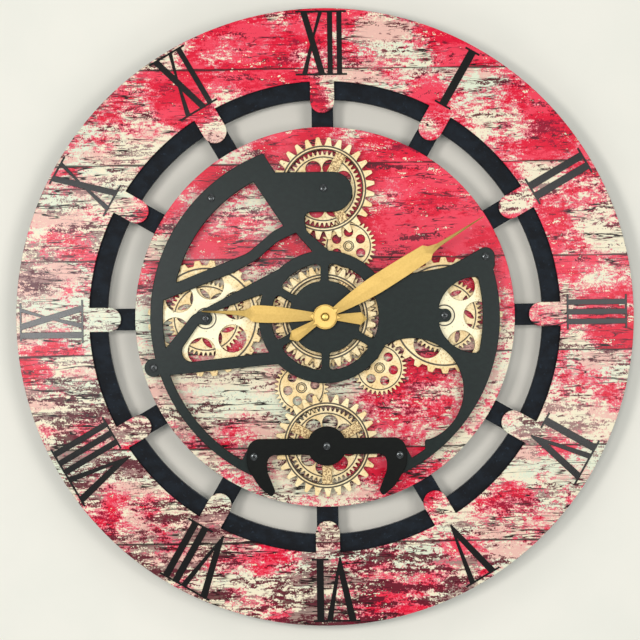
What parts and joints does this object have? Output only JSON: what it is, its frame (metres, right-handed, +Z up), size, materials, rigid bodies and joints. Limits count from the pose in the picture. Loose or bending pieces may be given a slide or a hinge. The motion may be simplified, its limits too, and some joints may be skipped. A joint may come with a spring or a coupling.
{
  "type": "round wall clock",
  "caption": "Large round wall clock with an open train of turning gears under a dark skeleton plate, a wide numbered ring and a battery movement.",
  "frame": {"origin": "on the dial's axis, on the rear face of the movement case, in the plane of the wall", "axes": "+Z up towards XII, +Y into the wall, so the dial faces -Y, and +X towards III"},
  "size_m": [0.61, 0.0755, 0.61],
  "materials": {
    "printed_wood": "printed distressed boards, satin",
    "black_board": "black painted fibreboard",
    "dark_plate": "dark grey green paint with a fine grain",
    "black_plate": "near black paint with a fine grain",
    "gilt_gear": "antique gold paint with dark printed lines",
    "gilt_hand": "satin gold",
    "brass": "bright",
    "steel": "plain",
    "black_plastic": "fine moulded texture",
    "cell_wrap": "plain wrapper"
  },
  "bodies": {
    "frame": {"back_plate": "black_board", "rear_ring": "black_board", "dial_ring": "printed_wood", "inner_disc": "printed_wood", "bridge_plate": "dark_plate", "lower_bridge": "black_plate", "hanger_plate": "steel", "hanger_screw_left": "steel", "hanger_screw_right": "steel", "centre_post": "steel", "gear_post_top": "steel", "gear_post_bottom": "steel", "gear_post_left": "steel", "gear_post_right": "steel", "standoff_arc": "black_plastic", "standoff_lug_left": "black_plastic", "standoff_lug_right": "black_plastic", "standoff_lower_left": "black_plastic", "standoff_lower_right": "black_plastic", "screw_top": "steel", "screw_bottom": "steel", "screw_left": "steel", "screw_right": "steel", "screw_arc": "steel", "screw_lug_left": "steel", "screw_lug_right": "steel", "screw_lower_left": "steel", "screw_lower_right": "steel", "idler_pin_upper": "brass", "idler_pin_lower": "brass", "mounting_bush": "brass", "bush_nut": "steel", "movement_case": "black_plastic", "movement_cell": "cell_wrap", "drive_case": "black_plastic", "drive_cell": "cell_wrap"},
    "centre_gears": {"centre_gear_fine": "gilt_gear", "centre_gear_ring": "gilt_gear"},
    "upper_idler": {"idler_gear_upper": "gilt_gear"},
    "lower_idler": {"idler_gear_lower": "gilt_gear"},
    "drive": {"drive_gear": "gilt_gear", "drive_shaft": "brass"},
    "top_gears": {"top_gear_fine": "gilt_gear", "top_gear_ring": "gilt_gear"},
    "bottom_gears": {"bottom_gear_fine": "gilt_gear", "bottom_gear_ring": "gilt_gear"},
    "left_pinion": {"transfer_pinion_left": "gilt_gear"},
    "right_pinion": {"transfer_pinion_right": "gilt_gear"},
    "left_gears": {"left_gear_fine": "gilt_gear", "left_gear_wheel": "gilt_gear"},
    "right_gears": {"right_gear_fine": "gilt_gear", "right_gear_wheel": "gilt_gear"},
    "minute": {"minute_hand": "gilt_hand", "minute_arbor": "brass", "hand_nut": "brass"},
    "hour": {"hour_hand": "gilt_hand", "hour_pipe": "brass"},
    "knob": {"set_knob": "black_plastic"},
    "switch": {"power_switch": "steel"}
  },
  "joints": [
    {"name": "centre_spin", "type": "hinge", "parent": "frame", "child": "centre_gears", "pos_m": [0, -0.045, 0], "axis": [0, 1, 0], "continuous": true},
    {"name": "drive_spin", "type": "hinge", "parent": "frame", "child": "drive", "pos_m": [0.05305, -0.0424, -0.05087], "axis": [0, 1, 0], "continuous": true},
    {"name": "upper_idler_spin", "type": "hinge", "parent": "frame", "child": "upper_idler", "pos_m": [0.02412, -0.0424, 0.06943], "axis": [0, 1, 0], "continuous": true},
    {"name": "lower_idler_spin", "type": "hinge", "parent": "frame", "child": "lower_idler", "pos_m": [-0.02412, -0.0424, -0.06943], "axis": [0, 1, 0], "continuous": true},
    {"name": "top_spin", "type": "hinge", "parent": "frame", "child": "top_gears", "pos_m": [0, -0.045, 0.126], "axis": [0, 1, 0], "continuous": true},
    {"name": "bottom_spin", "type": "hinge", "parent": "frame", "child": "bottom_gears", "pos_m": [0, -0.045, -0.126], "axis": [0, 1, 0], "continuous": true},
    {"name": "left_pinion_spin", "type": "hinge", "parent": "frame", "child": "left_pinion", "pos_m": [-0.06465, -0.0424, 0.01326], "axis": [0, 1, 0], "continuous": true},
    {"name": "right_pinion_spin", "type": "hinge", "parent": "frame", "child": "right_pinion", "pos_m": [0.06465, -0.0424, 0.01326], "axis": [0, 1, 0], "continuous": true},
    {"name": "left_spin", "type": "hinge", "parent": "frame", "child": "left_gears", "pos_m": [-0.117, -0.045, 0], "axis": [0, 1, 0], "continuous": true},
    {"name": "right_spin", "type": "hinge", "parent": "frame", "child": "right_gears", "pos_m": [0.117, -0.045, 0], "axis": [0, 1, 0], "continuous": true},
    {"name": "minute_turn", "type": "hinge", "parent": "frame", "child": "minute", "pos_m": [0, -0.0698, 0], "axis": [0, 1, 0], "continuous": true},
    {"name": "hour_turn", "type": "hinge", "parent": "frame", "child": "hour", "pos_m": [0, -0.0671, 0], "axis": [0, 1, 0], "continuous": true},
    {"name": "knob_turn", "type": "hinge", "parent": "frame", "child": "knob", "pos_m": [0, -0.004, 0.014], "axis": [0, 1, 0], "continuous": true},
    {"name": "switch_slide", "type": "slide", "parent": "frame", "child": "switch", "axis": [1, 0, 0], "range_m": [0, 0.003]}
  ],
  "couplings": [
    {"joint": "drive_spin", "follows": "centre_spin", "ratio": -1.8824},
    {"joint": "upper_idler_spin", "follows": "centre_spin", "ratio": -1.8824},
    {"joint": "lower_idler_spin", "follows": "centre_spin", "ratio": -1.8824},
    {"joint": "top_spin", "follows": "centre_spin", "ratio": 1.3333},
    {"joint": "bottom_spin", "follows": "centre_spin", "ratio": 1.3333},
    {"joint": "left_pinion_spin", "follows": "centre_spin", "ratio": -2.6667},
    {"joint": "right_pinion_spin", "follows": "centre_spin", "ratio": -2.6667},
    {"joint": "left_spin", "follows": "centre_spin", "ratio": 1.3333},
    {"joint": "right_spin", "follows": "centre_spin", "ratio": 1.3333},
    {"joint": "hour_turn", "follows": "minute_turn", "ratio": 0.083333},
    {"joint": "knob_turn", "follows": "minute_turn", "ratio": -0.33333}
  ]
}
